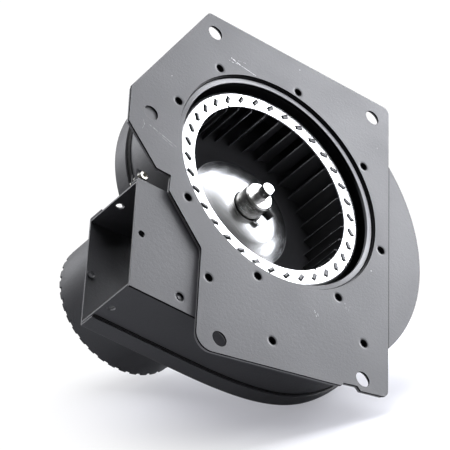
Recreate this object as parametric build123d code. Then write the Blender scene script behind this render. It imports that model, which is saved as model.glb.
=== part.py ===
from build123d import *
import math
import os

os.makedirs("parts", exist_ok=True)

# ---------------------------------------------------------------- dimensions
# Frame: origin at the centre of the inlet on the mounting face of the plate,
# +Z along the shaft out of the inlet, +X along the plate's straight top edge,
# +Y up the plate's straight right edge.  Millimetres.

T_PLATE = 1.0            # mounting plate
T_ORIF = 1.9             # orifice plate behind it
D_ORIF = 0.7             # its outline lies this far inside the mounting plate's
T_COVER = 1.2            # scroll covers
T_WALL = 1.2             # scroll side wall
Z_COVER = -(T_PLATE + T_ORIF)      # face of the scroll's front cover
Z_REAR = -47.5           # outer face of the scroll's rear cover
T_REAR = 1.0
RIM_H = 10.5             # height of the rear cover's turned rim

R_OPEN = 69.1            # opening in the mounting plate
R_ORIF = 68.4            # opening in the orifice plate
R_LIP = 64.9             # throat of the beaded lip of the scroll cover
R_BEAD = 68.3            # outer foot of that bead
Z_BEAD = -2.15           # crest of the bead
R_CLINCH = 2.35          # press-joint recesses
R_MOUNT = 4.6            # mounting holes

SPIRAL_A = 78.74         # scroll spiral, rim surface, r = A exp(K phi)
SPIRAL_K = 0.09
X_MOUTH = -91.1          # outlet mouth
D_COVER = 0.6            # insets measured from the rim surface
D_SEAL = 1.0
D_WALL = 1.5

R_SHAFT = 3.97
Z_SHAFT = -8.95          # front end of the shaft
Z_SHAFT_END = -148.0

R_WHEEL = 63.0
R_EYE = 52.7
Z_RING = -7.6
T_RING = 0.9
N_BLADE = 34
T_BLADE = 0.55
Z_BACK = -43.4           # front of the back plate's flat rim
T_BACK = 0.9
R_HUB = 9.0
Z_HUB0 = -17.3
Z_HUB1 = -28.6
NICKS = (126.1, -51.6)    # small notches in the ring's inner edge, degrees
A_SCREW = -28.0          # direction of the hub's set screw, degrees

R_MOTOR = 44.0
Z_MOTOR_END = -152.8
Z_SHIELD = -61.0
R_STUD_PCD = 51.6
STUD_ANGLES = (35.0, 155.0, 275.0)
R_TIE = 38.7
TIE_ANGLES = (0.0, 90.0, 180.0, 270.0)

PLATE = [  # corner x, y, corner radius
    (-53.4, 96.5, 3.6), (78.7, 96.5, 4.0), (78.7, -111.9, 5.5), (59.6, -116.1, 0.5),
    (57.4, -113.9, 0.5), (48.0, -116.1, 0.5), (46.3, -118.6, 0.5), (-50.0, -138.6, 9.0),
    (-49.6, -73.0, 4.0), (-72.5, -45.3, 1.0), (-72.1, -34.6, 0.4), (-81.5, -34.4, 1.0),
    (-101.4, -11.4, 2.0), (-101.6, 13.4, 2.0)]

CLINCH = [(-43.9, 59.0), (-70.3, 19.6), (-60.2, -43.7), (-12.0, -73.3), (43.2, -60.6),
          (73.2, -12.4), (60.0, 42.6), (11.3, 72.2), (-43.9, -90.2), (-0.8, -111.2), (61.4, -83.5)]
HOLES = [(-48.4, 83.6), (66.2, 83.6), (61.0, -107.6), (-35.0, -126.2)]
HOLE_BLIND = (-87.7, 1.2)


# ------------------------------------------------------------------- helpers
def cyl(r, z0, z1, x=0.0, y=0.0):
    z0, z1 = min(z0, z1), max(z0, z1)
    return Pos(x, y, z0) * Cylinder(r, z1 - z0, align=(Align.CENTER, Align.CENTER, Align.MIN))


def tube(ro, ri, z0, z1, x=0.0, y=0.0):
    return cyl(ro, z0, z1, x, y) - cyl(ri, min(z0, z1) - 1, max(z0, z1) + 1, x, y)


def box(x0, x1, y0, y1, z0, z1):
    return Pos((x0 + x1) / 2, (y0 + y1) / 2, (z0 + z1) / 2) * Box(abs(x1 - x0), abs(y1 - y0), abs(z1 - z0))


def ext(face, z0, z1):
    z0, z1 = min(z0, z1), max(z0, z1)
    return Pos(0, 0, z0) * extrude(face, amount=z1 - z0, dir=(0, 0, 1))


def polar(r, a_deg, z=0.0):
    a = math.radians(a_deg)
    return (r * math.cos(a), r * math.sin(a), z)


def rounded(pts):
    edges, n, ends = [], len(pts), []
    for i in range(n):
        p = Vector(pts[i][0], pts[i][1]); r = pts[i][2]
        a = (Vector(pts[i - 1][0], pts[i - 1][1]) - p).normalized()
        b = (Vector(pts[(i + 1) % n][0], pts[(i + 1) % n][1]) - p).normalized()
        half = math.radians(a.get_angle(b)) / 2
        d = r / math.tan(half)
        m = p + (a + b).normalized() * (r / math.sin(half) - r)
        ends.append((p + a * d, m, p + b * d))
    for i in range(n):
        s, m, e = ends[i]
        edges.append(ThreePointArc(s, m, e))
        edges.append(Line(e, ends[(i + 1) % n][0]))
    return make_face(edges)


def inset(pts, d):
    """The outline of pts (clockwise, with corner radii) moved inwards by d."""
    out, n = [], len(pts)
    for i in range(n):
        p = Vector(pts[i][0], pts[i][1])
        e0 = (p - Vector(pts[i - 1][0], pts[i - 1][1])).normalized()
        e1 = (Vector(pts[(i + 1) % n][0], pts[(i + 1) % n][1]) - p).normalized()
        n0, n1 = Vector(e0.Y, -e0.X), Vector(e1.Y, -e1.X)
        q = p + (n0 + n1) * (d / (1 + n0.dot(n1)))
        convex = e0.X * e1.Y - e0.Y * e1.X < 0
        out.append((q.X, q.Y, max(0.35, pts[i][2] - d) if convex else pts[i][2] + d))
    return out


def bez(p0, t0, p1, t1, n):
    d = math.dist(p0, p1) / 3.0
    c0 = (p0[0] + t0[0] * d, p0[1] + t0[1] * d); c1 = (p1[0] - t1[0] * d, p1[1] - t1[1] * d)
    out = []
    for i in range(1, n):
        t = i / n
        out.append(tuple((1 - t) ** 3 * a + 3 * (1 - t) ** 2 * t * b + 3 * (1 - t) * t * t * c + t ** 3 * e
                         for a, b, c, e in zip(p0, c0, c1, p1)))
    return out


def scroll_base():
    """Rim surface of the scroll from the tongue round to the straight outlet wall."""
    pts = []
    for ph in range(-46, 241, 2):
        r = SPIRAL_A * math.exp(SPIRAL_K * math.radians(ph))
        pts.append(polar(r, 180 - ph)[:2])
    t0 = (pts[-1][0] - pts[-2][0], pts[-1][1] - pts[-2][1]); n0 = math.hypot(*t0)
    q = (-44.0, -118.0); t1 = (-1.0, 0.0105)
    pts += bez(pts[-1], (t0[0] / n0, t0[1] / n0), q, t1, 24) + [q]
    return pts


BASE = scroll_base()
TOP_SLOPE = 0.0568
Y_TOP = -44.7
Y_BOT = -117.5


def scroll_face(d):
    """Closed outline of scroll and outlet, d inside the rim surface."""
    off = []
    for i, p in enumerate(BASE):
        a = BASE[max(i - 1, 0)]; b = BASE[min(i + 1, len(BASE) - 1)]
        tx, ty = b[0] - a[0], b[1] - a[1]; n = math.hypot(tx, ty)
        off.append((p[0] + ty / n * d, p[1] - tx / n * d))
    def top(x):
        return Y_TOP - d + TOP_SLOPE * (x - X_MOUTH)
    k = 0
    while off[k][1] < top(off[k][0]):
        k += 1
    a, b = off[k - 1], off[k]
    fa, fb = a[1] - top(a[0]), b[1] - top(b[0])
    s = fa / (fa - fb)
    tongue = (a[0] + s * (b[0] - a[0]), a[1] + s * (b[1] - a[1]))
    run = [tongue] + [p for i, p in enumerate(off) if i > k and i % 4 == 0] + [off[-1]]
    bottom = (X_MOUTH, Y_BOT + d)
    return make_face([Spline(*run), Line(run[-1], bottom), Line(bottom, (X_MOUTH, top(X_MOUTH))),
                      Line((X_MOUTH, top(X_MOUTH)), tongue)])


def save(shape, name):
    if isinstance(shape, (list, tuple)):
        shape = Compound(children=list(shape)) if len(shape) > 1 else shape[0]
    export_step(shape, "parts/%s.step" % name)


def hexagon(r_flat, z0, z1, x=0.0, y=0.0):
    return ext(Pos(x, y) * RegularPolygon(r_flat, 6, major_radius=False), z0, z1)


# --------------------------------------------------------------- front plates
plate_face = rounded(PLATE)
cut = cyl(R_OPEN, -T_PLATE - 1, 1)
plate = ext(plate_face, -T_PLATE, 0) - cut
for x, y in HOLES + [HOLE_BLIND]:
    plate -= cyl(R_MOUNT, -T_PLATE - 1, 1, x, y)
for x, y in CLINCH:
    plate -= cyl(R_CLINCH, -T_PLATE - 1, 1, x, y)
save(plate, "mounting_plate")

orif = ext(rounded(inset(PLATE, D_ORIF)), Z_COVER, -T_PLATE) - cyl(R_ORIF, -20, 5)
for x, y in HOLES:
    orif -= cyl(R_MOUNT + 1.6, -10, 1, x, y)
for x, y in CLINCH:
    orif -= cyl(R_CLINCH, -10, 1, x, y)
save(orif, "orifice_plate")

# ------------------------------------------------------------ scroll housing
Z_C1 = Z_COVER - T_COVER
cover = ext(scroll_face(D_COVER), Z_C1, Z_COVER)
ear_x0, ear_x1 = X_MOUTH + 1.6, -82.2
X_CL, Y_CL = -85.7, -38.7   # clamp screw axis
EAR_TOP = -34.2
Z_EAR = -7.4
y_top_cov = Y_TOP - D_COVER
cover += box(X_MOUTH, -79.0, Y_TOP - D_WALL + 0.75, y_top_cov + 0.82, Z_EAR - 1.0, Z_COVER)
cover += box(ear_x0, ear_x1, Y_TOP - D_WALL + 0.75, EAR_TOP, Z_EAR - 1.0, Z_EAR)
cover -= cyl(R_BEAD, -20, 5)
# inlet lip: the cover's inner edge is rolled up into a low bead round the throat
lip_face = make_face(Polyline(*[(r, 0, z) for r, z in (
    (R_BEAD, Z_COVER), (R_BEAD - 0.35, Z_BEAD - 0.15), (R_BEAD - 0.6, Z_BEAD), (R_LIP + 0.35, Z_BEAD),
    (R_LIP + 0.1, Z_BEAD - 0.1), (R_LIP, Z_BEAD - 0.35), (R_LIP, Z_C1), (R_LIP + 1.05, Z_C1),
    (R_LIP + 1.2, Z_BEAD - 1.1), (R_BEAD - 1.3, Z_BEAD - 1.1), (R_BEAD - 1.1, Z_C1), (R_BEAD, Z_C1))], close=True))
cover += revolve(lip_face, Axis.Z)
for i, (x, y) in enumerate(CLINCH):
    if i != 2:
        cover += cyl(3.0, Z_C1 - 0.8, Z_C1, x, y)
    cover -= cyl(2.2, Z_COVER - 0.7, 1, x, y)
cover += cyl(3.1, Z_C1 - 0.8, Z_C1, -59.5, -109.0)
cover -= cyl(2.6, Z_COVER - 1.3, 1, -59.5, -109.0)
cover += cyl(0.95, Z_COVER - 1.4, Z_COVER - 0.7, -59.5, -109.0)
cover -= cyl(2.1, -20, 1, -86.0, -80.4)
cover -= cyl(1.7, -30, 1, X_CL, Y_CL)
save(cover, "scroll_front_cover")

wall_face = scroll_face(D_WALL)
inner_face = scroll_face(D_WALL + T_WALL)
wall = ext(wall_face, Z_REAR + T_REAR, Z_C1) - ext(inner_face, Z_REAR - 5, 5)
slab = box(X_MOUTH - 5, X_MOUTH + 3, Y_BOT + D_WALL + T_WALL + 0.2, Y_TOP - D_WALL - T_WALL - 0.4, -60, 5)
wall -= slab
wall -= Pos(-86.2, Y_TOP - D_WALL, -26.2) * Rot(90, 0, 0) * Cylinder(2.4, 10)
wall -= Pos(-86.4, Y_BOT + D_WALL, -26.0) * Rot(90, 0, 0) * Cylinder(2.3, 10)
wall += box(ear_x0 + 0.8, ear_x1 - 0.3, Y_TOP - D_WALL - 0.6, EAR_TOP - 1.0, Z_EAR - 5.8, Z_EAR - 4.6)
wall -= cyl(1.7, -30, 1, X_CL, Y_CL)
save(wall, "scroll_wrap")

rear = ext(scroll_face(0.0), Z_REAR, Z_REAR + RIM_H)
# rounded bend between the rear cover and its rim
for r_bend in (0.9, 0.6, 0.4, 0.25):
    try:
        es = [e for e in rear.edges() if abs(e.center().Z - Z_REAR) < 0.01 and abs(e.center().X - X_MOUTH) > 0.5]
        rear2 = fillet(es, r_bend)
        if rear2.is_valid and rear2.volume > 0.9 * rear.volume:
            rear = rear2
            print("rear bend", r_bend)
            break
    except Exception as err:
        print("rear bend radius", r_bend, "not possible")
rear -= ext(scroll_face(D_SEAL), Z_REAR + T_REAR, 5)
rear -= box(X_MOUTH - 5, X_MOUTH + 4, Y_BOT + D_SEAL + 0.01, Y_TOP - D_SEAL - 0.01, Z_REAR + T_REAR, 5)
rear += cyl(2.6, Z_REAR + T_REAR, Z_REAR + T_REAR + 0.9, -88.0, -82.6)
rear -= cyl(1.7, -60, -40, -88.0, -82.6)
rear -= cyl(9.5, -60, -40)
# stiffening bead pressed round the motor seat
rear += tube(66.0, 60.6, Z_REAR - 0.8, Z_REAR)
rear -= tube(64.9, 61.7, Z_REAR + 0.1, Z_REAR + 5)
rear += tube(16.4, 9.5, Z_REAR - 0.9, Z_REAR)
for a in STUD_ANGLES:
    x, y, _ = polar(R_STUD_PCD, a)
    rear -= cyl(2.5, -60, -40, x, y)
save(rear, "scroll_rear_cover")

seal = ext(scroll_face(D_SEAL), Z_REAR + T_REAR, Z_REAR + RIM_H + 3.3) - ext(wall_face, Z_REAR - 5, 5)
seal -= box(X_MOUTH - 5, X_MOUTH + 0.8, -200, 0, -60, 5)
seal -= box(-150, 150, -200, -44.0, Z_REAR + RIM_H + 1.3, 5)
save(seal, "scroll_seam_seal")

# outlet clamp: screw through both ears, nut behind
screw = (cyl(1.65, Z_EAR - 8.6, Z_EAR, X_CL, Y_CL) + cyl(3.0, Z_EAR, Z_EAR + 0.5, X_CL, Y_CL)
         + hexagon(2.3, Z_EAR + 0.5, Z_EAR + 2.5, X_CL, Y_CL))
screw -= cyl(1.25, Z_EAR + 1.5, Z_EAR + 3, X_CL, Y_CL)
for i in range(11):
    z = Z_EAR - 8.4 + i * 0.7
    if not (Z_EAR - 5.9 < z < Z_EAR - 4.2) and z < Z_EAR - 1.3:
        screw -= tube(2.2, 1.32, z, z + 0.35, X_CL, Y_CL)
save(screw, "outlet_clamp_screw")
nut = hexagon(2.5, Z_EAR - 4.6, Z_EAR - 2.8, X_CL, Y_CL) - cyl(1.65, -30, 1, X_CL, Y_CL)
nut -= tube(2.0, 1.2, Z_EAR - 3.3, Z_EAR, X_CL, Y_CL)
save(nut, "outlet_clamp_nut")

# ------------------------------------------------------------- motor mounting
studs, spacers, grommets, washers, nuts = [], [], [], [], []
for a in STUD_ANGLES:
    x, y, _ = polar(R_STUD_PCD, a)
    studs.append(cyl(2.5, -73.5, Z_REAR + T_REAR, x, y) + cyl(4.0, Z_REAR + T_REAR, Z_REAR + T_REAR + 0.8, x, y))
    spacers.append(tube(4.6, 2.5, -58.0, Z_REAR, x, y))
    g = tube(7.4, 2.5, -66.0, -58.0, x, y) - tube(9, 5.6, -63.0, -61.0, x, y)
    grommets.append(g)
    washers.append(tube(6.2, 2.5, -67.0, -66.0, x, y))
    nuts.append(hexagon(4.0, -71.0, -67.0, x, y) - cyl(2.5, -80, 0, x, y))
save(studs, "motor_mount_studs")
save(spacers, "stud_spacers")
save(grommets, "vibration_grommets")
save(washers, "stud_washers")
save(nuts, "stud_nuts")

# --------------------------------------------------------------------- motor
R_SHELL_I = R_MOTOR - 1.6
Z_SEAM = -149.0          # joint between the shell and the rear shield
front = cyl(R_MOTOR, -76.0, Z_SHIELD) - cyl(R_SHELL_I, -80, Z_SHIELD - 2.0)
front += tube(R_SHELL_I, 40.9, -79.0, -72.0)
for a in STUD_ANGLES:
    x, y, _ = polar(R_STUD_PCD, a)
    ear = hull_pts = None
    ear = Rot(0, 0, a) * (box(38.0, R_STUD_PCD, -8.6, 8.6, Z_SHIELD - 2.0, Z_SHIELD)) + cyl(8.6, Z_SHIELD - 2.0, Z_SHIELD, x, y)
    ear -= cyl(R_SHELL_I - 2, -90, Z_SHIELD - 1.99)
    front += ear - cyl(5.6, -90, 0, x, y)
front += cyl(14.0, Z_SHIELD - 12.0, Z_SHIELD) - cyl(10.2, Z_SHIELD - 20, Z_SHIELD - 2.0)
front -= cyl(5.6, -90, 0)
for i in range(12):
    a = 15 + 30 * i
    x, y, _ = polar(27.0, a)
    front -= Pos(x, y, 0) * Rot(0, 0, a) * Pos(0, 0, -62) * Box(13, 4.2, 8)
for a in TIE_ANGLES:
    x, y, _ = polar(R_TIE, a)
    front -= cyl(2.1, -90, 0, x, y)
save(front, "motor_front_shield")

shell = tube(R_MOTOR, R_SHELL_I, Z_SEAM, -76.0)
shell -= Rot(0, 0, 48) * (Pos(R_MOTOR, 0, -133.4) * Rot(0, 90, 0) * Cylinder(5.0, 12))
save(shell, "motor_shell")

Z_BACKW = -150.2
back = cyl(R_MOTOR, Z_BACKW, Z_SEAM) + cyl(R_SHELL_I, Z_BACKW, Z_BACKW + 1.6)
back += tube(R_MOTOR, R_MOTOR - 1.8, Z_MOTOR_END, Z_BACKW)
back += tube(R_SHELL_I, 41.0, Z_BACKW, -139.4)
back += cyl(14.0, Z_BACKW, -138.2) - cyl(10.2, Z_BACKW + 1.6, -130)
teeth = 36
for i in range(teeth):
    a = 360.0 / teeth * i
    back -= Rot(0, 0, a) * Pos(R_MOTOR, 0, Z_MOTOR_END) * Box(1.7, 3.0, 4.4)
for i in range(12):
    a = 15 + 30 * i
    x, y, _ = polar(27.0, a)
    back -= Pos(x, y, 0) * Rot(0, 0, a) * Pos(0, 0, -150) * Box(15, 4.0, 8)
for a in TIE_ANGLES:
    x, y, _ = polar(R_TIE, a)
    back -= cyl(2.1, -160, -100, x, y)
save(back, "motor_rear_shield")


def bush(z0, z1):
    h = (z1 - z0)
    return tube(8.2, R_SHAFT + 0.03, z0, z1) & (Pos(0, 0, (z0 + z1) / 2) * Sphere(max(9.0, h * 0.9)))


save(bush(-71.0, -63.6), "front_bearing")
save(bush(-147.6, -140.2), "rear_bearing")
save(tube(10.2, 8.25, -63.0 - 9.4, -63.6 - 1.0), "front_bearing_felt")
save(tube(10.2, 8.25, -146.4, -138.8), "rear_bearing_felt")
save(tube(10.2, 7.2, -73.0, -72.4) - box(-1, 1, 0, 12, -80, -60), "front_bearing_retainer")
save(tube(10.2, 7.2, -138.8, -138.2) - box(-1, 1, 0, 12, -150, -130), "rear_bearing_retainer")

# stator: laminated ring with 18 slots, coils through the slots with end turns
Z_S0, Z_S1 = -126.0, -88.0
core = tube(R_SHELL_I, 22.6, Z_S0, Z_S1)
slots = []
for i in range(18):
    s = Rot(0, 0, 20.0 * i) * box(24.2, 33.5, -2.3, 2.3, Z_S0 - 1, Z_S1 + 1)
    slots.append(s)
    core -= s
    core -= Rot(0, 0, 20.0 * i) * box(21.0, 25.0, -0.9, 0.9, Z_S0 - 1, Z_S1 + 1)
for a in TIE_ANGLES:
    x, y, _ = polar(R_TIE, a)
    core -= cyl(2.4, -160, -60, x, y)
save(core, "stator_core")
coil = tube(34.4, 24.3, Z_S1, Z_S1 + 8.5) + tube(34.4, 24.3, Z_S0 - 8.5, Z_S0)
for i in range(18):
    coil += Rot(0, 0, 20.0 * i) * box(24.3, 33.4, -2.2, 2.2, Z_S0 - 0.5, Z_S1 + 0.5)
try:
    es = [e for e in coil.edges() if abs(abs(e.center().Z - (Z_S0 + Z_S1) / 2) - (Z_S1 - Z_S0) / 2 - 8.5) < 0.1]
    coil = fillet(es, 2.6)
except Exception as err:
    print("coil ends left square:", err)
save(coil, "stator_coils")

bolts, bnuts = [], []
for a in TIE_ANGLES:
    x, y, _ = polar(R_TIE, a)
    bolts.append(cyl(2.0, Z_BACKW - 2.4, Z_SHIELD, x, y) + cyl(3.3, Z_SHIELD, Z_SHIELD + 1.8, x, y))
    bnuts.append(hexagon(2.9, Z_BACKW - 2.2, Z_BACKW, x, y) - cyl(2.0, -160, 0, x, y))
save(bolts, "motor_through_bolts")
save(bnuts, "through_bolt_nuts")

bushing = Rot(0, 0, 48) * (Pos(0, 0, -133.4) * Rot(0, 90, 0) * (
    Pos(0, 0, R_SHELL_I - 1.4) * Cylinder(4.95, 4.6, align=(Align.CENTER, Align.CENTER, Align.MIN))
    + Pos(0, 0, R_MOTOR + 0.4) * Cylinder(6.6, 2.4, align=(Align.CENTER, Align.CENTER, Align.MIN))
    + Pos(0, 0, R_SHELL_I - 3.2) * Cylinder(6.2, 1.8, align=(Align.CENTER, Align.CENTER, Align.MIN))
    - Pos(0, 0, 30) * Cylinder(2.6, 30, align=(Align.CENTER, Align.CENTER, Align.MIN))))
save(bushing, "lead_bushing")

# --------------------------------------------------------------------- rotor
shaft = cyl(R_SHAFT, Z_SHAFT_END, Z_SHAFT)
shaft -= Rot(0, 0, A_SCREW) * box(R_SHAFT - 0.75, R_SHAFT + 2, -6, 6, Z_HUB1 - 2.0, 0)
shaft = chamfer([e for e in shaft.edges() if abs(e.center().Z - Z_SHAFT_END) < 0.01], 0.4)
try:
    shaft = chamfer([e for e in shaft.edges() if abs(e.center().Z - Z_SHAFT) < 0.01], 0.35)
except Exception as err:
    print("shaft nose left square:", err)
save(shaft, "motor_shaft")

save(tube(22.2, R_SHAFT, Z_S0, Z_S1), "rotor_core")
save([tube(21.4, 11.5, Z_S1, Z_S1 + 4.0), tube(21.4, 11.5, Z_S0 - 4.0, Z_S0)], "rotor_end_rings")
save([tube(7.0, R_SHAFT, -73.6 - 1.6, -71.3), tube(7.0, R_SHAFT, -139.9, -137.6)], "thrust_collars")

fan = tube(7.0, R_SHAFT, -59.4, -50.0) + tube(31.0, R_SHAFT + 1, -59.4, -58.2)
for i in range(10):
    a = 36.0 * i
    fan += Rot(0, 0, a) * (Pos(19.4, 0, -55.2) * Rot(0, 0, 18) * Box(21.5, 1.2, 6.2))
save(fan, "motor_cooling_fan")
save(tube(5.6, R_SHAFT, -50.0, -49.2) - box(0, 8, -1.6, 1.6, -52, -48), "fan_retaining_clip")

# impeller
R_ROLL = 2.3
c45 = math.sin(math.pi / 4)
ro, ri, zr = R_WHEEL, R_WHEEL - T_RING + 0.1, Z_RING - R_ROLL
ring = revolve(make_face([
    Line((R_EYE, 0, Z_RING), (ro - R_ROLL, 0, Z_RING)),
    ThreePointArc((ro - R_ROLL, 0, Z_RING), (ro - R_ROLL * (1 - c45), 0, Z_RING - R_ROLL * (1 - c45)), (ro, 0, zr)),
    Line((ro, 0, zr), (ro, 0, Z_RING - 4.6)),
    Line((ro, 0, Z_RING - 4.6), (ri, 0, Z_RING - 4.6)),
    Line((ri, 0, Z_RING - 4.6), (ri, 0, zr)),
    ThreePointArc((ri, 0, zr), (ro - R_ROLL + (R_ROLL - 0.8) * c45, 0, zr + (R_ROLL - T_RING) * c45), (ro - R_ROLL, 0, Z_RING - T_RING)),
    Line((ro - R_ROLL, 0, Z_RING - T_RING), (R_EYE, 0, Z_RING - T_RING)),
    Line((R_EYE, 0, Z_RING - T_RING), (R_EYE, 0, Z_RING))]), Axis.Z)
for a_n in NICKS:
    ring -= Rot(0, 0, a_n) * box(R_EYE - 2, R_EYE + 0.9, -0.8, 0.8, Z_RING - 3, Z_RING + 1)

# blade section: an arc from the eye to the rim, leaning into the clockwise rotation
R_B0, R_B1 = 51.5, 59.6


def blade_pts(off):
    """Centre line of a blade as (radius, angle) with its thickness offset."""
    out = []
    n = 8
    for i in range(n + 1):
        t = i / n
        r = R_B0 + (R_B1 - R_B0) * t
        lean = -8.6 * t ** 1.55 + 1.2 * t
        out.append(polar(r, lean)[:2])
    res = []
    for i, p in enumerate(out):
        a = out[max(i - 1, 0)]; b = out[min(i + 1, n)]
        tx, ty = b[0] - a[0], b[1] - a[1]; m = math.hypot(tx, ty)
        res.append((p[0] - ty / m * off, p[1] + tx / m * off))
    return res


pa, pb = blade_pts(T_BLADE / 2), blade_pts(-T_BLADE / 2)
bface = make_face([Spline(*pa), Line(pa[-1], pb[-1]), Spline(*list(reversed(pb))), Line(pb[0], pa[0])])
blade0 = ext(bface, Z_BACK, Z_RING - T_RING)
# tab through the ring, bent over on its face
tab_x = 57.6
tab_a = math.degrees(math.atan2(*(lambda p: (p[1], p[0]))(((pa[5][0] + pb[5][0]) / 2, (pa[5][1] + pb[5][1]) / 2))))
tab_dir = math.degrees(math.atan2(pa[6][1] - pa[4][1], pa[6][0] - pa[4][0]))
tcx, tcy = (pa[5][0] + pb[5][0]) / 2, (pa[5][1] + pb[5][1]) / 2
frame_t = Pos(tcx, tcy, 0) * Rot(0, 0, tab_dir)
tab = frame_t * Pos(0, 0, Z_RING - T_RING / 2 + 0.2) * Box(3.8, T_BLADE, T_RING + 0.9)
tab += frame_t * Pos(0, 0.45, Z_RING + 0.475) * Box(3.8, 1.45, 0.35)
blade0 += tab
# the blade's inner corner is clipped under the ring
clip = Pos(0, 0, Z_RING - T_RING) * Rot(0, 45, 0) * Box(2.6, 9, 2.6)
blade0 -= Pos(R_B0 - 0.35, 0, 0) * clip
slot0 = frame_t * Pos(0, 0.95, Z_RING - 0.5) * Box(5.4, 2.7, 3)
blades = []
for i in range(N_BLADE):
    a = 360.0 / N_BLADE * i
    blades.append(Rot(0, 0, a) * blade0)
    ring -= Rot(0, 0, a) * slot0
save(ring, "impeller_front_ring")
save(blades, "impeller_blades")

zb = Z_BACK
prof = [(9.4, Z_HUB1), (15.0, Z_HUB1 - 0.45), (20.0, Z_HUB1 - 1.35), (25.0, Z_HUB1 - 2.9), (29.5, Z_HUB1 - 5.3),
        (33.5, Z_HUB1 - 8.4), (37.5, Z_HUB1 - 11.4), (41.5, Z_HUB1 - 13.5), (45.0, Z_HUB1 - 14.5), (49.0, zb)]
top_e = Spline(*[(r, 0, z) for r, z in prof])
low = [(r, 0, z - T_BACK) for r, z in prof]
back_face = make_face([Line((R_SHAFT + 1.6, 0, Z_HUB1), (9.4, 0, Z_HUB1)), top_e, Line((49.0, 0, zb), (62.3, 0, zb)),
                       Line((62.3, 0, zb), (62.3, 0, zb - T_BACK)), Line((62.3, 0, zb - T_BACK), (49.0, 0, zb - T_BACK)),
                       Spline(*list(reversed(low))), Line(low[0], (R_SHAFT + 1.6, 0, Z_HUB1 - T_BACK)),
                       Line((R_SHAFT + 1.6, 0, Z_HUB1 - T_BACK), (R_SHAFT + 1.6, 0, Z_HUB1))])
backp = revolve(back_face, Axis.Z)
save(backp, "impeller_back_plate")

hub = revolve(make_face(Polyline(
    (R_SHAFT, 0, Z_HUB0), (R_HUB - 1.0, 0, Z_HUB0), (R_HUB, 0, Z_HUB0 - 1.0), (R_HUB, 0, Z_HUB1),
    (R_SHAFT + 1.6, 0, Z_HUB1), (R_SHAFT + 1.6, 0, Z_HUB1 - T_BACK), (R_SHAFT + 3.2, 0, Z_HUB1 - T_BACK),
    (R_SHAFT + 2.8, 0, Z_HUB1 - T_BACK - 0.9), (R_SHAFT, 0, Z_HUB1 - T_BACK - 0.9), close=True)), Axis.Z)
R_SET = 2.9
Z_SET = -22.6
set_hole = Rot(0, 0, A_SCREW) * (Pos(0, 0, Z_SET) * Rot(0, 90, 0) * Cylinder(R_SET, 14, align=(Align.CENTER, Align.CENTER, Align.MIN)))
hub -= set_hole
save(hub, "impeller_hub")
sset = Pos(0, 0, R_SHAFT - 0.75) * Cylinder(R_SET, 10.2, align=(Align.CENTER, Align.CENTER, Align.MIN))
for i in range(5):
    z = R_HUB + 0.35 + i * 0.85
    sset -= Pos(0, 0, z) * (Cylinder(R_SET + 1, 0.4, align=(Align.CENTER, Align.CENTER, Align.MIN))
                            - Cylinder(R_SET - 0.4, 0.4, align=(Align.CENTER, Align.CENTER, Align.MIN)))
sset -= Pos(0, 0, R_SHAFT - 0.75 + 8.4) * extrude(RegularPolygon(1.4, 6, major_radius=False), amount=3)
sset = Rot(0, 0, A_SCREW) * (Pos(0, 0, Z_SET) * Rot(0, 90, 0) * sset)
save(sset, "hub_set_screw")
print("done")
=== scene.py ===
import bpy, math
from mathutils import Vector, Matrix

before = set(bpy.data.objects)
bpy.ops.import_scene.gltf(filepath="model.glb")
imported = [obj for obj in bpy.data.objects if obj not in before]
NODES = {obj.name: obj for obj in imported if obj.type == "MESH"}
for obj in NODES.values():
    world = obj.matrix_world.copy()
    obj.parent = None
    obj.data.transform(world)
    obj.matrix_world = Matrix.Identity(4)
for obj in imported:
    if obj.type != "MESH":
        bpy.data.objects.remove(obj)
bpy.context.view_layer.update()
MM = 0.001


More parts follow.
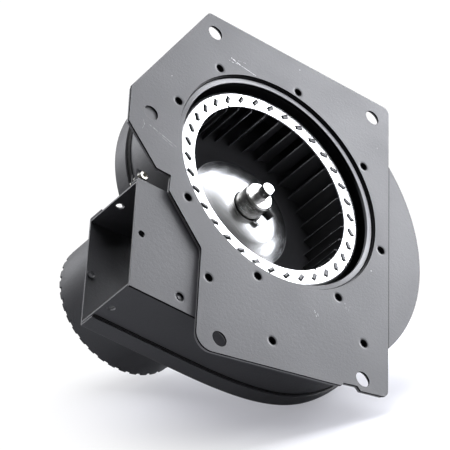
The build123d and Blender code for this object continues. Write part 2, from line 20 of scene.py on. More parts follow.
# ---------------------------------------------------------------- node helpers
class Mat:
    """A procedural material in the part's own coordinates (metres, row frame)."""

    def __init__(self, name):
        self.m = bpy.data.materials.new(name)
        self.m.use_nodes = True
        self.t = self.m.node_tree
        self.b = self.t.nodes["Principled BSDF"]
        self.out = self.t.nodes["Material Output"]
        self.co = self.t.nodes.new("ShaderNodeTexCoord").outputs["Object"]
        self.normal = None

    def node(self, kind, **props):
        n = self.t.nodes.new(kind)
        for k, v in props.items():
            setattr(n, k, v)
        return n

    def link(self, a, b):
        self.t.links.new(a, b)

    def put(self, socket, v):
        if hasattr(v, "is_linked") or hasattr(v, "links"):
            self.link(v, socket)
        else:
            socket.default_value = v

    def math(self, op, a, b=0.0, c=0.0, clamp=False):
        n = self.node("ShaderNodeMath", operation=op, use_clamp=clamp)
        self.put(n.inputs[0], a)
        self.put(n.inputs[1], b)
        if len(n.inputs) > 2:
            self.put(n.inputs[2], c)
        return n.outputs[0]

    def vmath(self, op, a, b=(0, 0, 0), out=0):
        n = self.node("ShaderNodeVectorMath", operation=op)
        self.put(n.inputs[0], a)
        self.put(n.inputs[1], b)
        return n.outputs[out]

    def xyz(self):
        if not hasattr(self, "_xyz"):
            n = self.node("ShaderNodeSeparateXYZ")
            self.link(self.co, n.inputs[0])
            self._xyz = n.outputs
        return self._xyz

    def combine(self, x, y, z):
        n = self.node("ShaderNodeCombineXYZ")
        self.put(n.inputs[0], x)
        self.put(n.inputs[1], y)
        self.put(n.inputs[2], z)
        return n.outputs[0]

    def noise(self, scale, detail=3.0, rough=0.5, vec=None, distort=0.0):
        n = self.node("ShaderNodeTexNoise")
        self.link(vec if vec is not None else self.co, n.inputs["Vector"])
        n.inputs["Scale"].default_value = scale
        n.inputs["Detail"].default_value = detail
        n.inputs["Roughness"].default_value = rough
        n.inputs["Distortion"].default_value = distort
        return n.outputs["Fac"]

    def ramp(self, v, lo, hi, a=0.0, b=1.0, smooth=True):
        n = self.node("ShaderNodeMapRange", clamp=True)
        n.interpolation_type = "SMOOTHSTEP" if smooth else "LINEAR"
        self.put(n.inputs["Value"], v)
        n.inputs["From Min"].default_value = lo
        n.inputs["From Max"].default_value = hi
        n.inputs["To Min"].default_value = a
        n.inputs["To Max"].default_value = b
        return n.outputs["Result"]

    def mix(self, fac, a, b):
        n = self.node("ShaderNodeMix", data_type="RGBA")
        self.put(n.inputs[0], fac)
        self.put(n.inputs[6], a if hasattr(a, "links") else (*a, 1.0))
        self.put(n.inputs[7], b if hasattr(b, "links") else (*b, 1.0))
        return n.outputs[2]

    def bump(self, height, strength=0.3, dist=0.0002):
        n = self.node("ShaderNodeBump")
        n.inputs["Strength"].default_value = strength
        n.inputs["Distance"].default_value = dist
        self.put(n.inputs["Height"], height)
        if self.normal is not None:
            self.link(self.normal, n.inputs["Normal"])
        self.normal = n.outputs["Normal"]
        self.link(self.normal, self.b.inputs["Normal"])
        return self

    def bevel(self, radius, samples=6):
        n = self.node("ShaderNodeBevel", samples=samples)
        n.inputs["Radius"].default_value = radius
        if self.normal is not None:
            self.link(self.normal, n.inputs["Normal"])
        self.normal = n.outputs["Normal"]
        self.link(self.normal, self.b.inputs["Normal"])
        return self

    def polar(self):
        """(radius from the shaft axis, angle) sockets."""
        x, y = self.xyz()[0], self.xyz()[1]
        r = self.math("SQRT", self.math("ADD", self.math("MULTIPLY", x, x), self.math("MULTIPLY", y, y)))
        a = self.math("ARCTAN2", y, x)
        return r, a

    def segment(self, p, q, width, fade=0.6):
        """1 on a thin line from p to q (row-frame mm, on the plate's face), 0 off it."""
        x, y = self.xyz()[0], self.xyz()[1]
        px, py, qx, qy = (v * MM for v in (*p, *q))
        dx, dy = qx - px, qy - py
        ll = dx * dx + dy * dy
        ux = self.math("SUBTRACT", x, px)
        uy = self.math("SUBTRACT", y, py)
        h = self.math("DIVIDE", self.math("ADD", self.math("MULTIPLY", ux, dx), self.math("MULTIPLY", uy, dy)), ll, clamp=True)
        ex = self.math("SUBTRACT", ux, self.math("MULTIPLY", h, dx))
        ey = self.math("SUBTRACT", uy, self.math("MULTIPLY", h, dy))
        d = self.math("SQRT", self.math("ADD", self.math("MULTIPLY", ex, ex), self.math("MULTIPLY", ey, ey)))
        w = width * MM
        return self.ramp(d, w * fade, w, 1.0, 0.0)


def base(m, color, rough, metal=0.0, ior=1.5, spec=0.5):
    m.b.inputs["Base Color"].default_value = (*color, 1.0)
    m.b.inputs["Roughness"].default_value = rough
    m.b.inputs["Metallic"].default_value = metal
    m.b.inputs["IOR"].default_value = ior
    m.b.inputs["Specular IOR Level"].default_value = spec
    return m


# ------------------------------------------------------------------- materials
def powder_coat(name, marks=(), specks=(), dents=(), painted_edge_shade=None, painted_band_light_shade=None, painted_recess_light=None, round_edge=0.00030, lit_side=-2.0, painted_step_shadow=None, painted_rim_shade=None, painted_ear_shade=None, painted_edge_highlight=None):
    """Satin black powder coat on sheet steel: fine orange-peel texture, a few light scuffs.
    dents are the centres (mm) of the press-joint recesses, round which the sheet is drawn in."""
    m = base(Mat(name), (0.050, 0.050, 0.053), 0.44, 0.0, 1.5, 0.5)
    fine = m.noise(1500, 2.0, 0.6)
    peel = m.noise(560, 2.0, 0.5)
    cloud = m.noise(26, 3.0, 0.55)
    rough = m.math("ADD", m.ramp(cloud, 0.35, 0.65, 0.47, 0.53), m.ramp(fine, 0.3, 0.7, -0.03, 0.03))
    col = m.mix(m.ramp(cloud, 0.3, 0.7), (0.046, 0.046, 0.050), (0.054, 0.054, 0.058))
    dust = m.ramp(m.noise(1300, 1.0, 0.5), 0.735, 0.80)
    col = m.mix(m.math("MULTIPLY", dust, 0.30), col, (0.16, 0.16, 0.16))
    for (p, q, w, amount) in marks:
        s = m.segment(p, q, w)
        broken = m.ramp(m.noise(620, 2.0, 0.6), 0.42, 0.58)
        s = m.math("MULTIPLY", m.math("MULTIPLY", s, broken), amount)
        col = m.mix(s, col, (0.62, 0.62, 0.63))
    for (p, w, amount) in specks:
        s = m.segment(p, (p[0] + 0.3, p[1] + 0.2), w)
        col = m.mix(m.math("MULTIPLY", s, amount), col, (0.55, 0.55, 0.55))
    near = None
    if dents:
        flat = m.combine(m.xyz()[0], m.xyz()[1], 0.0)
        for (cx, cy) in dents:
            d = m.vmath("DISTANCE", flat, (cx * MM, cy * MM, 0.0), out=1)
            near = d if near is None else m.math("MINIMUM", near, d)
    painted_shade_matt = None
    if painted_edge_shade is not None:
        # painted shade: side faces, the sheets' cut edges, are painted near-black, rougher and with less sheen,
        # except faces whose normal's x part is below lit_side
        n = m.node("ShaderNodeTexCoord").outputs["Normal"]
        nz = m.math("ABSOLUTE", m.vmath("DOT_PRODUCT", n, (0.0, 0.0, 1.0), out=1))
        nx = m.vmath("DOT_PRODUCT", n, (1.0, 0.0, 0.0), out=1)
        side = m.math("MULTIPLY", m.ramp(nz, 0.35, 0.75, 1.0, 0.0), m.ramp(nx, lit_side, lit_side + 0.1))
        col = m.mix(side, col, painted_edge_shade)
        rough = m.math("ADD", rough, m.math("MULTIPLY", side, 0.25))
        painted_shade_matt = side
    if painted_band_light_shade is not None:
        # painted light and shade: a band round the opening recoloured on the side towards angle a0 only; on the
        # front cover it is painted lighter where the bead should catch light, on the orifice plate near-black with
        # its sheen cut where the bore wall lies in shade
        r0, r1, a0, shade = painted_band_light_shade
        r, a = m.polar()
        on = m.math("MULTIPLY", m.ramp(r, (r0 - 0.2) * MM, r0 * MM), m.ramp(r, r1 * MM, (r1 + 0.2) * MM, 1.0, 0.0))
        side = m.math("COSINE", m.math("SUBTRACT", a, a0))
        on = m.math("MULTIPLY", on, m.ramp(side, -0.35, 0.35))
        col = m.mix(on, col, shade)
        if shade[0] < 0.02:
            painted_shade_matt = on if painted_shade_matt is None else m.math("MAXIMUM", painted_shade_matt, on)
    if painted_edge_highlight is not None:
        # painted highlight: the sheet's outer cut edge, beyond 75 mm from the axis, painted pale as where it catches
        # the light
        n = m.node("ShaderNodeTexCoord").outputs["Normal"]
        nz = m.math("ABSOLUTE", m.vmath("DOT_PRODUCT", n, (0.0, 0.0, 1.0), out=1))
        on = m.math("MULTIPLY", m.ramp(m.polar()[0], 74.0 * MM, 75.0 * MM), m.ramp(nz, 0.35, 0.75, 1.0, 0.0))
        col = m.mix(on, col, painted_edge_highlight)
    if painted_ear_shade is not None:
        # painted shade: the cut edges of the clamp's ear, above and left of this corner, painted near-black with
        # their sheen cut
        n = m.node("ShaderNodeTexCoord").outputs["Normal"]
        nz = m.math("ABSOLUTE", m.vmath("DOT_PRODUCT", n, (0.0, 0.0, 1.0), out=1))
        on = m.math("MULTIPLY", m.ramp(m.xyz()[0], (painted_ear_shade[0] - 0.4) * MM, painted_ear_shade[0] * MM, 1.0, 0.0), m.ramp(m.xyz()[1], painted_ear_shade[1] * MM, (painted_ear_shade[1] + 0.4) * MM))
        on = m.math("MULTIPLY", on, m.ramp(nz, 0.35, 0.75, 1.0, 0.0))
        col = m.mix(on, col, (0.006, 0.006, 0.0065))
        painted_shade_matt = on if painted_shade_matt is None else m.math("MAXIMUM", painted_shade_matt, on)
    if painted_rim_shade is not None:
        # painted shade: a near-black ring with its sheen cut, at the drawn-in edge of each recess where it turns
        # away from the light
        on = m.ramp(near, (painted_rim_shade - 0.15) * MM, (painted_rim_shade + 0.15) * MM, 1.0, 0.0)
        col = m.mix(on, col, (0.006, 0.006, 0.0065))
        painted_shade_matt = on if painted_shade_matt is None else m.math("MAXIMUM", painted_shade_matt, on)
    if painted_step_shadow is not None:
        # painted shadow: a near-black line with its sheen cut, on the cover in the step beside the mounting plate's
        # straight edge, where that edge casts shade
        x0, x1 = painted_step_shadow
        x = m.xyz()[0]
        on = m.math("MULTIPLY", m.ramp(x, x0 * MM, (x0 + 0.5) * MM), m.ramp(x, x1 * MM, (x1 + 0.5) * MM, 1.0, 0.0))
        col = m.mix(on, col, (0.006, 0.006, 0.0065))
        painted_shade_matt = on if painted_shade_matt is None else m.math("MAXIMUM", painted_shade_matt, on)
    if painted_shade_matt is not None:
        # the sheen is cut wherever shade is painted
        m.link(m.math("SUBTRACT", 0.5, m.math("MULTIPLY", painted_shade_matt, 0.42)), m.b.inputs["Specular IOR Level"])
    if painted_recess_light is not None:
        # painted light: the floor of a recess, painted paler so that it reads as lit rather than lying in the shade
        # of the recess wall
        cx, cy, rad, shade = painted_recess_light
        spot = m.vmath("DISTANCE", m.combine(m.xyz()[0], m.xyz()[1], 0.0), (cx * MM, cy * MM, 0.0), out=1)
        col = m.mix(m.ramp(spot, (rad - 0.3) * MM, rad * MM, 1.0, 0.0), col, shade)
    m.link(col, m.b.inputs["Base Color"])
    m.link(rough, m.b.inputs["Roughness"])
    m.bevel(round_edge)
    m.bump(fine, 0.30, 0.00016)
    m.bump(peel, 0.22, 0.00030)
    if dents:
        m.bump(m.ramp(near, 0.0020, 0.0038), 0.8, 0.00040)
    return m.m


def bright_steel(name, rough_lo, rough_hi, tint=(0.86, 0.87, 0.885), streak=1.0, painted_shade_zone=None, foot=None, spun=0.0, crown=None, round_edge=0.00012):
    """Bright pressed sheet steel with faint circular spinning marks and mild handling haze."""
    m = base(Mat(name), tint, rough_lo, 1.0)
    r, a = m.polar()
    ring = m.noise(1.0, 4.0, 0.6, m.combine(m.math("MULTIPLY", r, 1700.0), m.math("MULTIPLY", a, 2.2), m.math("MULTIPLY", m.xyz()[2], 500.0)))
    haze = m.noise(55, 4.0, 0.6)
    rough = m.ramp(m.math("ADD", m.math("MULTIPLY", ring, 0.5 * streak), m.math("MULTIPLY", haze, 0.5)), 0.3, 0.72, rough_lo, rough_hi)
    col = m.mix(m.ramp(haze, 0.35, 0.72), tint, tuple(c * 0.86 for c in tint))
    if painted_shade_zone is not None:
        # painted shade: beyond r0..r1 from the axis the steel is painted dark, rougher and less metallic, standing
        # in for the shade and dark reflections inside the wheel
        r0, r1, shade, shade_zone_rough, shade_zone_metal = painted_shade_zone
        out = m.ramp(r, r0 * MM, r1 * MM)
        col = m.mix(out, col, shade)
        rough = m.math("ADD", rough, m.math("MULTIPLY", out, shade_zone_rough))
        m.link(m.math("SUBTRACT", 1.0, m.math("MULTIPLY", out, 1.0 - shade_zone_metal)), m.b.inputs["Metallic"])
    if spun:
        # circular spinning grooves stretch the reflections outwards
        m.b.inputs["Anisotropic"].default_value = spun
        m.link(m.node("ShaderNodeTangent", direction_type="RADIAL", axis="Z").outputs[0], m.b.inputs["Tangent"])
    if foot is not None:
        # the dark line where the hub is seated
        col = m.mix(m.ramp(r, (foot - 0.25) * MM, (foot + 0.25) * MM, 1.0, 0.0), col, (0.02, 0.02, 0.02))
    m.link(col, m.b.inputs["Base Color"])
    m.link(rough, m.b.inputs["Roughness"])
    m.bevel(round_edge)
    if crown is not None:
        # the dish bulges a little more in this zone than its plain section
        c0, c1, k = crown
        up = m.math("MINIMUM", m.math("MAXIMUM", m.math("SUBTRACT", r, c0 * MM), 0.0), (c1 - c0) * MM)
        m.bump(m.math("MULTIPLY", m.math("MULTIPLY", up, up), k), 1.0, 1.0)
    m.bump(ring, 0.10 * streak, 0.00008)
    m.bump(haze, 0.06, 0.0005)
    return m.m


def turned(name, color, rough, step=2600.0, depth=0.10, painted_face_highlight=None):
    """Turned or ground steel: fine lathe lines round the piece."""
    m = base(Mat(name), color, rough, 1.0)
    z = m.xyz()[2]
    r, a = m.polar()
    lines = m.noise(1.0, 3.0, 0.6, m.combine(m.math("MULTIPLY", z, step), m.math("MULTIPLY", r, step), m.math("MULTIPLY", a, 0.8)))
    blot = m.noise(180, 3.0, 0.5)
    m.link(m.ramp(m.math("ADD", m.math("MULTIPLY", lines, 0.6), m.math("MULTIPLY", blot, 0.4)), 0.3, 0.7, rough * 0.75, rough * 1.35), m.b.inputs["Roughness"])
    col = m.mix(m.ramp(blot, 0.35, 0.7), color, tuple(c * 0.72 for c in color))
    if painted_face_highlight is not None:
        # painted highlight: faces pointing along +Z are painted lighter, as where they catch the light
        n = m.node("ShaderNodeTexCoord").outputs["Normal"]
        nz = m.vmath("DOT_PRODUCT", n, (0.0, 0.0, 1.0), out=1)
        col = m.mix(m.ramp(nz, 0.6, 0.9), col, painted_face_highlight)
    m.link(col, m.b.inputs["Base Color"])
    m.bevel(0.0002)
    m.bump(lines, depth, 0.0001)
    return m.m


def zinc(name, bright=(0.70, 0.69, 0.65), dark=(0.16, 0.15, 0.13), lo=0.22, hi=0.40):
    m = base(Mat(name), (0.74, 0.73, 0.69), 0.30, 1.0)
    spangle = m.noise(900, 2.0, 0.5)
    tarn = m.noise(160, 3.0, 0.6)
    m.link(m.mix(m.ramp(tarn, 0.35, 0.62), bright, dark), m.b.inputs["Base Color"])
    m.link(m.ramp(spangle, 0.3, 0.7, lo, hi), m.b.inputs["Roughness"])
    m.bevel(0.00018)
    m.bump(spangle, 0.08, 0.0001)
    return m.m


def dark_oxide(name, thread_axis=None, pitch=0.8):
    m = base(Mat(name), (0.045, 0.045, 0.047), 0.38, 0.75)
    n = m.noise(800, 3.0, 0.6)
    m.link(m.mix(m.ramp(n, 0.35, 0.7), (0.035, 0.035, 0.037), (0.075, 0.073, 0.070)), m.b.inputs["Base Color"])
    m.link(m.ramp(n, 0.3, 0.7, 0.28, 0.48), m.b.inputs["Roughness"])
    m.bevel(0.00015)
    m.bump(n, 0.08, 0.0001)
    if thread_axis:
        ax = m.vmath("DOT_PRODUCT", m.co, thread_axis, out=1)
        w = m.math("SINE", m.math("MULTIPLY", ax, 2 * math.pi / (pitch * MM)))
        m.bump(w, 0.55, 0.0003)
    return m.m


def rubber(name, color=(0.018, 0.018, 0.018), rough=0.62, grain=900):
    m = base(Mat(name), color, rough, 0.0, 1.5, 0.35)
    n = m.noise(grain, 3.0, 0.6)
    big = m.noise(60, 3.0, 0.6)
    m.link(m.mix(m.ramp(big, 0.3, 0.7), color, tuple(c * 1.7 for c in color)), m.b.inputs["Base Color"])
    m.link(m.ramp(n, 0.3, 0.7, rough - 0.08, rough + 0.10), m.b.inputs["Roughness"])
    m.bump(n, 0.25, 0.0002)
    return m.m


def laminations(name):
    m = base(Mat(name), (0.30, 0.30, 0.31), 0.42, 0.9)
    z = m.xyz()[2]
    w = m.math("SINE", m.math("MULTIPLY", z, 2 * math.pi / (0.5 * MM)))
    n = m.noise(240, 3.0, 0.6)
    m.link(m.mix(m.ramp(w, -0.6, 0.6), (0.20, 0.20, 0.21), (0.36, 0.36, 0.37)), m.b.inputs["Base Color"])
    m.link(m.ramp(n, 0.3, 0.7, 0.34, 0.55), m.b.inputs["Roughness"])
    m.bump(w, 0.35, 0.00012)
    m.bump(n, 0.08, 0.0002)
    return m.m


def copper(name):
    m = base(Mat(name), (0.60, 0.25, 0.09), 0.30, 0.85)
    r, a = m.polar()
    z = m.xyz()[2]
    w = m.math("SINE", m.math("MULTIPLY", m.math("ADD", r, m.math("MULTIPLY", z, 0.6)), 2 * math.pi / (0.6 * MM)))
    n = m.noise(300, 4.0, 0.6)
    m.link(m.mix(m.ramp(n, 0.3, 0.7), (0.62, 0.27, 0.10), (0.36, 0.13, 0.05)), m.b.inputs["Base Color"])
    m.link(m.ramp(w, -1.0, 1.0, 0.22, 0.45), m.b.inputs["Roughness"])
    m.bump(w, 0.6, 0.00025)
    m.bump(n, 0.15, 0.0003)
    return m.m


def bronze(name):
    m = base(Mat(name), (0.50, 0.33, 0.16), 0.45, 0.9)
    n = m.noise(2200, 3.0, 0.7)
    b = m.noise(120, 2.0, 0.5)
    m.link(m.mix(m.ramp(b, 0.3, 0.7), (0.54, 0.36, 0.18), (0.36, 0.23, 0.11)), m.b.inputs["Base Color"])
    m.link(m.ramp(n, 0.3, 0.7, 0.36, 0.58), m.b.inputs["Roughness"])
    m.bump(n, 0.3, 0.0001)
    return m.m


def felt(name):
    m = base(Mat(name), (0.42, 0.38, 0.29), 0.95, 0.0, 1.4, 0.2)
    n = m.noise(1500, 5.0, 0.8)
    b = m.noise(200, 3.0, 0.6)
    m.link(m.mix(m.ramp(n, 0.3, 0.7), (0.30, 0.26, 0.19), (0.52, 0.48, 0.38)), m.b.inputs["Base Color"])
    m.bump(n, 0.7, 0.0004)
    m.bump(b, 0.3, 0.0006)
    return m.m


def cast_alu(name):
    m = base(Mat(name), (0.66, 0.66, 0.67), 0.42, 1.0)
    n = m.noise(900, 4.0, 0.7)
    b = m.noise(120, 3.0, 0.6)
    m.link(m.mix(m.ramp(b, 0.3, 0.7), (0.70, 0.70, 0.71), (0.50, 0.50, 0.51)), m.b.inputs["Base Color"])
    m.link(m.ramp(n, 0.3, 0.7, 0.34, 0.56), m.b.inputs["Roughness"])
    m.bump(n, 0.3, 0.0002)
    return m.m


def moulded(name):
    m = base(Mat(name), (0.035, 0.035, 0.038), 0.48, 0.0, 1.5, 0.5)
    n = m.noise(1400, 3.0, 0.6)
    b = m.noise(50, 3.0, 0.6)
    m.link(m.mix(m.ramp(b, 0.3, 0.7), (0.030, 0.030, 0.033), (0.045, 0.045, 0.048)), m.b.inputs["Base Color"])
    m.link(m.ramp(n, 0.3, 0.7, 0.42, 0.58), m.b.inputs["Roughness"])
    m.bump(n, 0.15, 0.00015)
    return m.m


def assign(names, mat):
    for n in names:
        o = NODES[n]
        o.data.materials.clear()
        o.data.materials.append(mat)
        for p in o.data.polygons:
            p.material_index = 0


A_SET = math.radians(-28)
PLATE_MARKS = [((-36.3, 71.4), (-30.3, 69.5), 0.40, 0.90), ((-30.3, 69.5), (-19.0, 67.7), 0.25, 0.62),
               ((-38.1, 68.8), (-34.2, 68.6), 0.26, 0.5), ((-31.9, 71.8), (-25.2, 73.2), 0.22, 0.35),
               ((-33.2, 69.3), (-30.7, 68.9), 0.30, 0.5),
               ((-88.1, -7.4), (-70.1, -13.2), 0.24, 0.42), ((-82.0, -10.6), (-69.0, -15.6), 0.20, 0.25),
               ((-92.2, -5.8), (-91.3, -8.9), 0.22, 0.35), ((-91.3, -8.9), (-92.4, -12.3), 0.20, 0.30),
               ((27.0, -77.4), (28.5, -81.0), 0.28, 0.32), ((29.0, -78.0), (30.2, -81.5), 0.24, 0.28),
               ((47.5, -61.0), (49.0, -66.0), 0.20, 0.35), ((51.0, -63.0), (50.6, -66.0), 0.20, 0.25)]
PLATE_SPECKS = [((66.1, -30.7), 0.4, 0.4), ((-76.0, 35.0), 0.35, 0.3), ((12.0, 90.0), 0.35, 0.3), ((70.0, 62.0), 0.3, 0.3)]
DENTS = [(-43.9, 59.0), (-70.3, 19.6), (-60.2, -43.7), (-12.0, -73.3), (43.2, -60.6),
         (73.2, -12.4), (60.0, 42.6), (11.3, 72.2), (-43.9, -90.2), (-0.8, -111.2), (61.4, -83.5)]
coat_plate = powder_coat("powder_coat_plate", PLATE_MARKS, PLATE_SPECKS, DENTS, (0.004, 0.004, 0.0045), round_edge=0.00014, painted_rim_shade=2.65)
coat_cover = powder_coat("powder_coat_cover", (), (), [(-59.5, -109.0)], (0.004, 0.004, 0.0045), (65.1, 68.0, math.radians(54.7), (0.34, 0.34, 0.35)), round_edge=0.00014, lit_side=-0.95, painted_step_shadow=(76.0, 81.3), painted_ear_shade=(-80.5, -45.0))
coat_orifice = powder_coat("powder_coat_orifice", dents=DENTS, painted_rim_shade=2.65, painted_band_light_shade=(67.9, 69.4, math.radians(54.7), (0.004, 0.004, 0.0045)), painted_edge_highlight=(0.22, 0.22, 0.225), painted_recess_light=(-87.7, 1.2, 5.6, (0.066, 0.066, 0.069)), round_edge=0.00014)
coat_wrap = powder_coat("powder_coat_wrap", painted_ear_shade=(-80.5, -45.0))
coat = powder_coat("powder_coat")
assign(["mounting_plate"], coat_plate)
assign(["scroll_front_cover"], coat_cover)
assign(["orifice_plate"], coat_orifice)
assign(["scroll_wrap"], coat_wrap)
assign(["scroll_rear_cover", "motor_front_shield", "motor_shell", "motor_rear_shield"], coat)
# painted shade: the seam seal is a real rubber strip, coloured near-black, darker than its rubber, so that it stands
# in for the shade in the groove between wrap and rear cover
assign(["scroll_seam_seal"], rubber("seam_seal_painted_shade", (0.004, 0.004, 0.004), 0.8, 500))
assign(["outlet_clamp_screw", "outlet_clamp_nut"], zinc("bright_zinc_plate", (0.96, 0.95, 0.90), (0.62, 0.60, 0.54), 0.16, 0.30))
assign(["motor_mount_studs", "stud_spacers", "stud_washers", "stud_nuts", "motor_through_bolts", "through_bolt_nuts"], zinc("zinc_plate"))
assign(["vibration_grommets", "lead_bushing"], rubber("moulded_rubber"))
assign(["impeller_front_ring"], bright_steel("wheel_ring_steel", 0.22, 0.42))
assign(["impeller_blades"], bright_steel("wheel_blade_steel", 0.20, 0.32, (0.92, 0.93, 0.95), 0.4, (51.50, 51.62, (0.075, 0.075, 0.078), 0.22, 0.25), round_edge=0.00026))
assign(["impeller_back_plate"], bright_steel("wheel_back_plate_steel", 0.24, 0.31, streak=0.6, painted_shade_zone=(33.6, 34.2, (0.075, 0.075, 0.08), 0.35, 0.5), foot=9.9, spun=0.65, crown=(23.0, 34.2, 29.0)))
assign(["impeller_hub"], turned("hub_steel", (0.42, 0.41, 0.38), 0.26, painted_face_highlight=(0.88, 0.88, 0.87)))
assign(["thrust_collars"], turned("collar_steel", (0.55, 0.54, 0.52), 0.28))
assign(["motor_shaft"], turned("ground_shaft", (0.60, 0.59, 0.57), 0.22, depth=0.05, painted_face_highlight=(0.90, 0.90, 0.90)))
assign(["hub_set_screw"], dark_oxide("set_screw_oxide", (math.cos(A_SET), math.sin(A_SET), 0.0), 0.8))
assign(["fan_retaining_clip", "front_bearing_retainer", "rear_bearing_retainer"], dark_oxide("dark_oxide"))
assign(["front_bearing", "rear_bearing"], bronze("sintered_bronze"))
assign(["front_bearing_felt", "rear_bearing_felt"], felt("oil_felt"))
assign(["stator_core", "rotor_core"], laminations("lamination_stack"))
assign(["rotor_end_rings"], cast_alu("cast_aluminium"))
assign(["stator_coils"], copper("varnished_copper"))
assign(["motor_cooling_fan"], moulded("fan_plastic"))


# ---------------------------------------------------------------------- camera
R = ((0.80001, 0.03934, 0.59869), (0.40161, -0.77645, -0.48563), (0.44575, 0.62895, -0.63696))
T = (0.03004, -0.02463, 1.5147)
right, down, fwd = (Vector(r).normalized() for r in R)
eye = -(right * T[0] + down * T[1] + fwd * T[2])


def cam_dir(x, y, z):
    """A direction given in the camera's axes (right, up, away), turned to the row frame."""
    return (right * x - down * y + fwd * z).normalized()


cam = bpy.data.cameras.new("camera")
cam_o = bpy.data.objects.new("camera", cam)
bpy.context.scene.collection.objects.link(cam_o)
rot = Matrix((right, -down, -fwd)).transposed().to_4x4()
cam_o.matrix_world = Matrix.Translation(eye) @ rot
cam.sensor_width = 36.0
cam.lens = 36.0 * 2724.1 / 450.0
cam.clip_start, cam.clip_end = 0.05, 50.0
bpy.context.scene.camera = cam_o

# ------------------------------------------------------------------ pale floor
N_FLOOR = Vector((-0.540, 0.641, 0.546)).normalized()
D_FLOOR = -0.1225
AIM = Vector((0.0, -0.02, -0.06))


def floor_material():
    """Matt pale paper with painted light: camera rays see an added faint glow that lifts its shade, and away from
    the object a glow that turns it to the white of the backdrop.
    """
    m = bpy.data.materials.new("pale_floor")
    m.use_nodes = True
    t = m.node_tree
    b = t.nodes["Principled BSDF"]
    b.inputs["Base Color"].default_value = (0.560, 0.562, 0.580, 1)
    b.inputs["Roughness"].default_value = 0.8
    b.inputs["Specular IOR Level"].default_value = 0.1
    glow = t.nodes.new("ShaderNodeEmission")
    glow.inputs["Color"].default_value = (1, 1, 1, 1)
    glow.inputs["Strength"].default_value = 1.05
    co = t.nodes.new("ShaderNodeTexCoord")
    d = t.nodes.new("ShaderNodeVectorMath")
    d.operation = "DISTANCE"
    t.links.new(co.outputs["Object"], d.inputs[0])
    d.inputs[1].default_value = foot + FLOOR_SHIFT
    r = t.nodes.new("ShaderNodeMapRange")
    r.interpolation_type = "SMOOTHSTEP"
    r.inputs["From Min"].default_value = 0.085
    r.inputs["From Max"].default_value = 0.21
    t.links.new(d.outputs["Value"], r.inputs["Value"])
    lp = t.nodes.new("ShaderNodeLightPath")
    k = t.nodes.new("ShaderNodeMath")
    k.operation = "MULTIPLY"
    t.links.new(r.outputs["Result"], k.inputs[0])
    t.links.new(lp.outputs["Is Camera Ray"], k.inputs[1])
    # painted light: a faint bluish glow, seen only by camera rays, that lifts the shade on the floor
    painted_lift = t.nodes.new("ShaderNodeEmission")
    painted_lift.inputs["Color"].default_value = (0.97, 0.97, 1.05, 1)
    kl = t.nodes.new("ShaderNodeMath")
    kl.operation = "MULTIPLY"
    t.links.new(lp.outputs["Is Camera Ray"], kl.inputs[0])
    kl.inputs[1].default_value = 0.30
    t.links.new(kl.outputs[0], painted_lift.inputs["Strength"])
    paper_plus_painted_lift = t.nodes.new("ShaderNodeAddShader")
    t.links.new(b.outputs[0], paper_plus_painted_lift.inputs[0])
    t.links.new(painted_lift.outputs[0], paper_plus_painted_lift.inputs[1])
    m1 = t.nodes.new("ShaderNodeMixShader")
    t.links.new(k.outputs[0], m1.inputs[0])
    t.links.new(paper_plus_painted_lift.outputs[0], m1.inputs[1])
    t.links.new(glow.outputs[0], m1.inputs[2])
    g = t.nodes.new("ShaderNodeNewGeometry")
    tr = t.nodes.new("ShaderNodeBsdfTransparent")
    mx = t.nodes.new("ShaderNodeMixShader")
    t.links.new(g.outputs["Backfacing"], mx.inputs[0])
    t.links.new(m1.outputs[0], mx.inputs[1])
    t.links.new(tr.outputs[0], mx.inputs[2])
    t.links.new(mx.outputs[0], t.nodes["Material Output"].inputs["Surface"])
    return m


foot = AIM + N_FLOOR * (D_FLOOR - N_FLOOR.dot(AIM))
FLOOR_SHIFT = right * 0.074
me = bpy.data.meshes.new("floor")
u = N_FLOOR.cross(Vector((0, 0, 1))).normalized()
v = N_FLOOR.cross(u).normalized()
S = 6.0
me.from_pydata([foot + u * S * i + v * S * j for i, j in ((-1, -1), (1, -1), (1, 1), (-1, 1))], [], [(0, 1, 2, 3)])
me.update()
if me.polygons[0].normal.dot(N_FLOOR) < 0:
    me.flip_normals()
me.materials.append(floor_material())
floor = bpy.data.objects.new("floor", me)
bpy.context.scene.collection.objects.link(floor)

# ---------------------------------------------------------------------- lights
world = bpy.data.worlds.new("studio")
bpy.context.scene.world = world
world.use_nodes = True
wt = world.node_tree
bg = wt.nodes["Background"]
bg.inputs["Color"].default_value = (1.0, 1.0, 1.0, 1)
# the room is bright behind and above the object, and dim on the camera's side
wco = wt.nodes.new("ShaderNodeTexCoord")
wd = wt.nodes.new("ShaderNodeVectorMath")
wd.operation = "DOT_PRODUCT"
wt.links.new(wco.outputs["Generated"], wd.inputs[0])
wd.inputs[1].default_value = cam_dir(0.0, 0.45, 1.0)
wr = wt.nodes.new("ShaderNodeMapRange")
wr.interpolation_type = "SMOOTHSTEP"
wr.inputs["From Min"].default_value = -0.25
wr.inputs["From Max"].default_value = 0.75
wt.links.new(wd.outputs["Value"], wr.inputs["Value"])
lp = wt.nodes.new("ShaderNodeLightPath")
w_gloss = wt.nodes.new("ShaderNodeMath")      # how bright the back of the room looks in reflections
w_gloss.operation = "MULTIPLY_ADD"
wt.links.new(lp.outputs["Is Glossy Ray"], w_gloss.inputs[0])
w_gloss.inputs[1].default_value = 0.45
w_gloss.inputs[2].default_value = 0.08
w_sum = wt.nodes.new("ShaderNodeMath")
w_sum.operation = "MULTIPLY_ADD"
wt.links.new(wr.outputs["Result"], w_sum.inputs[0])
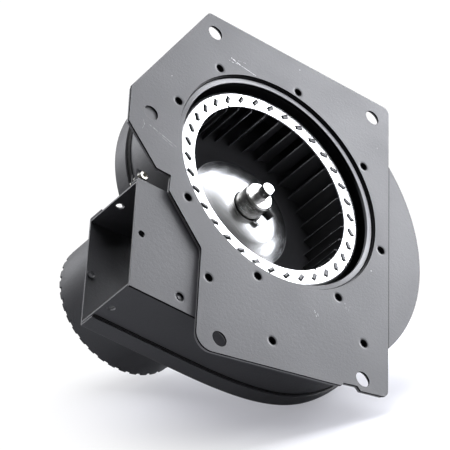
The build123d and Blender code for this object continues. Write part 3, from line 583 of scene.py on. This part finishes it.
wt.links.new(w_gloss.outputs[0], w_sum.inputs[1])
w_sum.inputs[2].default_value = 0.09
wt.links.new(w_sum.outputs[0], bg.inputs["Strength"])
bg2 = wt.nodes.new("ShaderNodeBackground")
bg2.inputs["Color"].default_value = (1, 1, 1, 1)
bg2.inputs["Strength"].default_value = 1.05
wm = wt.nodes.new("ShaderNodeMixShader")
wt.links.new(lp.outputs["Is Camera Ray"], wm.inputs[0])
wt.links.new(bg.outputs[0], wm.inputs[1])
wt.links.new(bg2.outputs[0], wm.inputs[2])
wt.links.new(wm.outputs[0], wt.nodes["World Output"].inputs["Surface"])


def area(name, direction, dist, sx, sy, radiance, shift=(0, 0, 0), color=(0.972, 0.985, 1.035), aim=AIM, gloss=True):
    """A soft box of a given radiance, seen from the object in that direction."""
    l = bpy.data.lights.new(name, "AREA")
    l.shape = "RECTANGLE"
    l.size, l.size_y = sx, sy
    l.energy = radiance * math.pi * sx * sy
    l.color = color
    o = bpy.data.objects.new(name, l)
    bpy.context.scene.collection.objects.link(o)
    o.location = aim + direction * dist + Vector(shift)
    o.rotation_euler = (-direction).to_track_quat("-Z", "Y").to_euler()
    o.visible_camera = False
    o.visible_glossy = gloss
    return o


area("key_upper", cam_dir(0.76, 0.66, 0.12), 0.56, 0.30, 0.30, 5.1, (0.0, 0.19, 0.0))
area("key_right", cam_dir(0.76, 0.66, 0.12), 0.56, 0.40, 0.40, 5.2, (0.20, 0.10, 0.0))
area("front_fill", cam_dir(0.60, 0.45, -0.66), 0.6, 0.35, 0.35, 3.7, (0.14, 0.12, 0.0), gloss=False)
area("top", cam_dir(-0.05, 0.98, 0.05), 0.95, 1.0, 0.8, 4.2)
area("left_back", cam_dir(-0.74, 0.50, 0.48), 1.0, 0.45, 0.6, 4.6)
area("right_back", cam_dir(0.75, 0.35, 0.6), 1.0, 0.5, 0.5, 10.0)

view = bpy.context.scene.view_settings
view.view_transform = "Standard"
view.look = "None"
view.exposure = 0.0
view.gamma = 1.0
